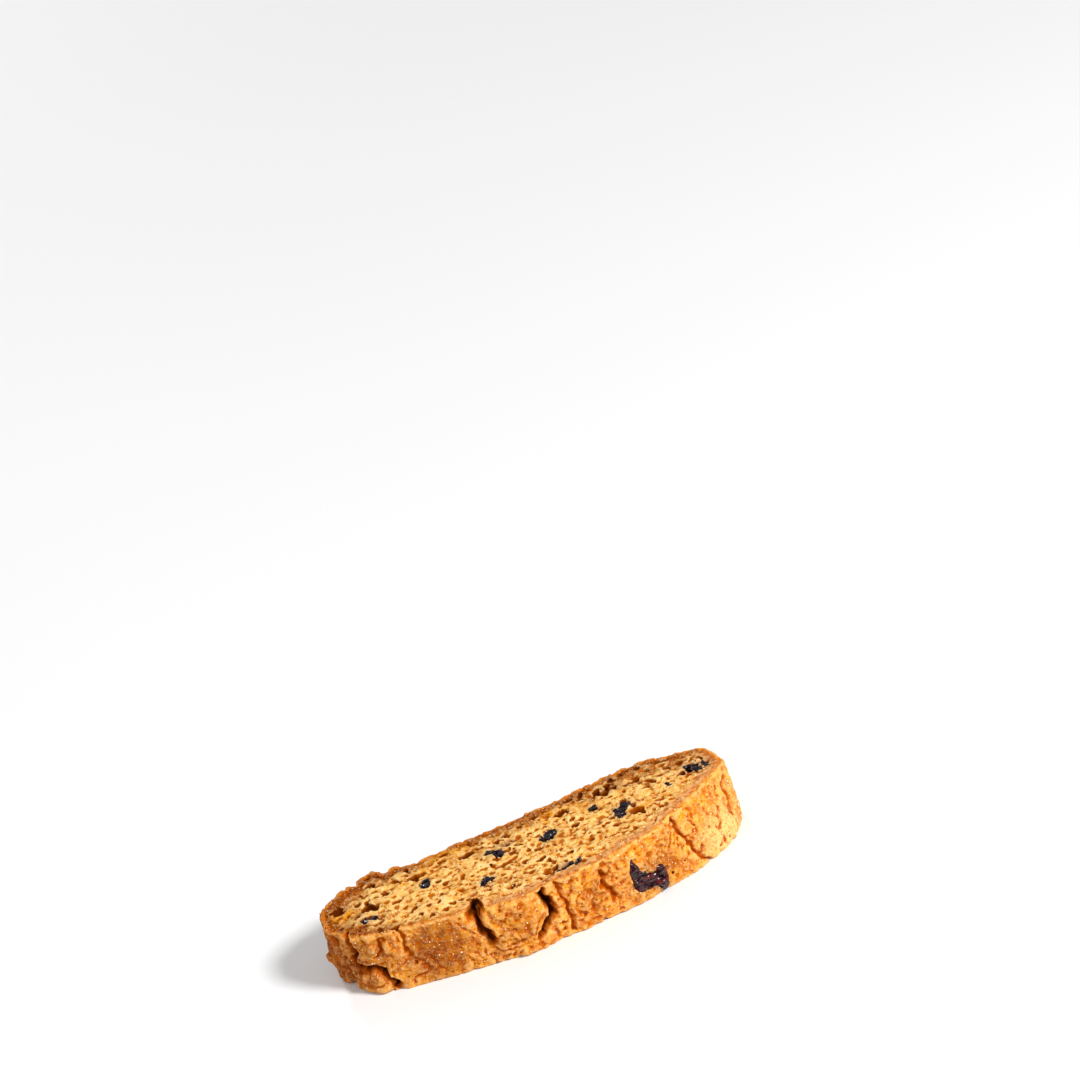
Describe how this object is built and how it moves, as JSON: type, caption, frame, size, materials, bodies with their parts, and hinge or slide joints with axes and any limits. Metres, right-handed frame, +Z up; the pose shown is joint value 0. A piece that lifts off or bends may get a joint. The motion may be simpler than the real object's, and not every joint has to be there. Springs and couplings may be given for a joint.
{
  "type": "biscotto slice",
  "caption": "Slice of twice-baked fruit biscuit with two cut faces, a domed cracked crust and a thin flat-baked edge, lying on a cut face.",
  "frame": {"origin": "middle of the slice's bounding box, on the surface that it lies on", "axes": "+X along the slice, +Y from the domed crust towards the loaf's flat base, +Z up through the thickness"},
  "size_m": [0.0774, 0.0262, 0.0118],
  "materials": {
    "biscuit": "matt golden baked crumb, browner on the crust",
    "raisin": "glossy wrinkled dark red-brown skin",
    "dark_fruit": "glossy near-black dried fruit"
  },
  "bodies": {
    "root": {"biscuit": "biscuit", "raisin": "raisin", "fruit_right": "dark_fruit", "fruit_middle": "dark_fruit", "fruit_streak": "dark_fruit", "fruit_near": "dark_fruit", "fruit_left": "dark_fruit", "fruit_left_end": "dark_fruit", "fruit_right_end": "dark_fruit"}
  },
  "joints": []
}
